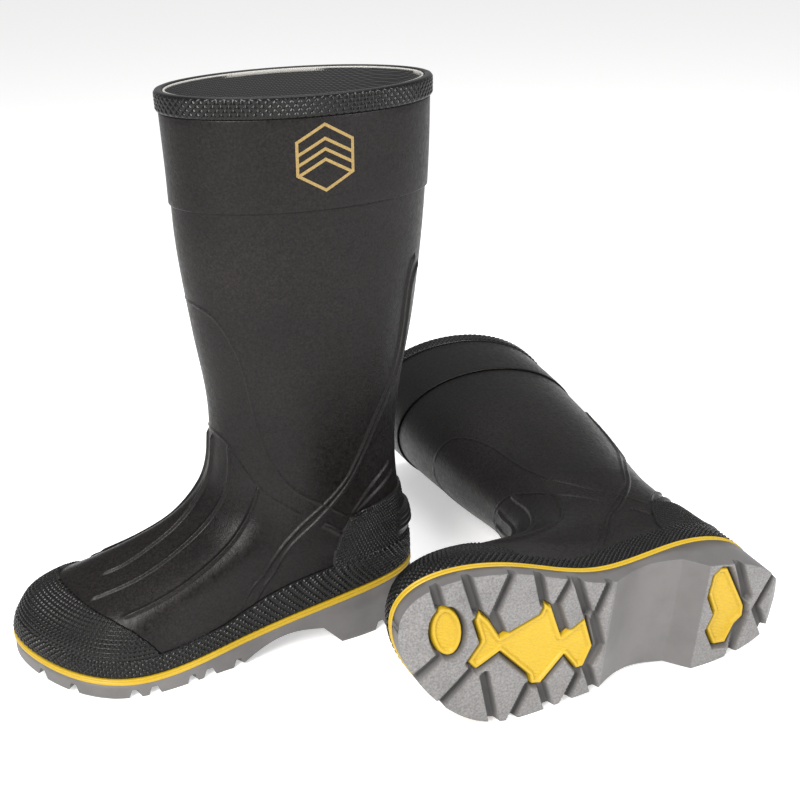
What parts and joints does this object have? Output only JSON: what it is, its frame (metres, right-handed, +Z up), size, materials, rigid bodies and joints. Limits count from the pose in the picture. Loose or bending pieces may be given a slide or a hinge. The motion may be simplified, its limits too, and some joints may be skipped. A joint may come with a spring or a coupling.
{
  "type": "pair of firefighter rubber safety boots",
  "caption": "Knee-high black rubber fire boots with steel toes, kick-off heel lugs and a cleated dual-density sole; one boot stands, the other lies on its side",
  "frame": {"origin": "bottom centre of the pair's bounding box, on the ground", "axes": "+Z up; the standing left boot points along -X with its outer side towards -Y; the right boot lies on its outer side with its sole towards -Y"},
  "size_m": [0.52, 0.4176, 0.4014],
  "materials": {
    "shell_rubber": "satin moulded rubber, charcoal black",
    "guard_rubber": "textured moulded rubber, black",
    "yellow_rubber": "satin moulded rubber, bright yellow",
    "grey_rubber": "matte moulded rubber, warm grey",
    "knit_lining": "off-white knitted sock bonded to the inside",
    "footbed_foam": "dark foam with a textile face",
    "insole_board": "pressed fibre board",
    "steel": "pressed and hardened steel, matte",
    "strip_rubber": "soft rubber strip",
    "gold_print": "dull gold ink"
  },
  "bodies": {
    "standing_boot": {"cuff_band_left": "shell_rubber", "emblem_left": "gold_print", "footbed_left": "footbed_foam", "foxing_inner_left": "guard_rubber", "foxing_outer_left": "guard_rubber", "heel_guard_left": "guard_rubber", "insole_board_left": "insole_board", "kick_off_lug_left": "guard_rubber", "lining_left": "knit_lining", "midsole_left": "yellow_rubber", "outsole_left": "grey_rubber", "rim_binding_left": "guard_rubber", "shank_left": "steel", "steel_toe_cap_left": "steel", "toe_cap_strip_left": "strip_rubber", "toe_guard_left": "guard_rubber", "tread_pad_ball_left": "yellow_rubber", "tread_pad_heel_left": "yellow_rubber", "tread_pad_toe_left": "yellow_rubber", "upper_shell_left": "shell_rubber"},
    "lying_boot": {"cuff_band_right": "shell_rubber", "emblem_right": "gold_print", "footbed_right": "footbed_foam", "foxing_inner_right": "guard_rubber", "foxing_outer_right": "guard_rubber", "heel_guard_right": "guard_rubber", "insole_board_right": "insole_board", "kick_off_lug_right": "guard_rubber", "lining_right": "knit_lining", "midsole_right": "yellow_rubber", "outsole_right": "grey_rubber", "rim_binding_right": "guard_rubber", "shank_right": "steel", "steel_toe_cap_right": "steel", "toe_cap_strip_right": "strip_rubber", "toe_guard_right": "guard_rubber", "tread_pad_ball_right": "yellow_rubber", "tread_pad_heel_right": "yellow_rubber", "tread_pad_toe_right": "yellow_rubber", "upper_shell_right": "shell_rubber"}
  },
  "joints": [
    {"name": "right_boot_lift", "type": "slide", "parent": "standing_boot", "child": "lying_boot", "axis": [0, 0, 1], "range_m": [0, 0.42]}
  ]
}
